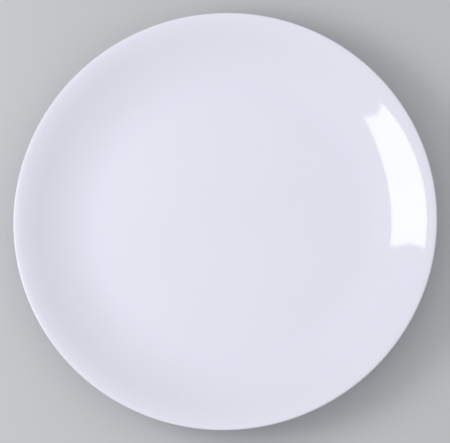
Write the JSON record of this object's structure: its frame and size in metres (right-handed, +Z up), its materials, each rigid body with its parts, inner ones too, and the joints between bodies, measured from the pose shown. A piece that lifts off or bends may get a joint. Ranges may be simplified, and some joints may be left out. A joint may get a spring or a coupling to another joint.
{
  "type": "salad plate",
  "caption": "Round coupe salad plate in glossy white glazed porcelain, with a flat well, a gently flared rim, a thin lip that turns almost level and a bare foot ring to stand on.",
  "frame": {"origin": "on the axis of the plate, in the plane that its foot ring stands on", "axes": "+Z up along the axis of the plate, out of the well; X and Y are any two directions across the plate, as it is round"},
  "size_m": [0.203, 0.203, 0.0198],
  "materials": {
    "porcelain": "matt fired porcelain, bare on the standing edge",
    "glaze": "glossy white glaze with a cool tint"
  },
  "bodies": {
    "root": {"porcelain_body": "porcelain", "face_glaze": "glaze", "back_glaze": "glaze", "recess_glaze": "glaze"}
  },
  "joints": []
}
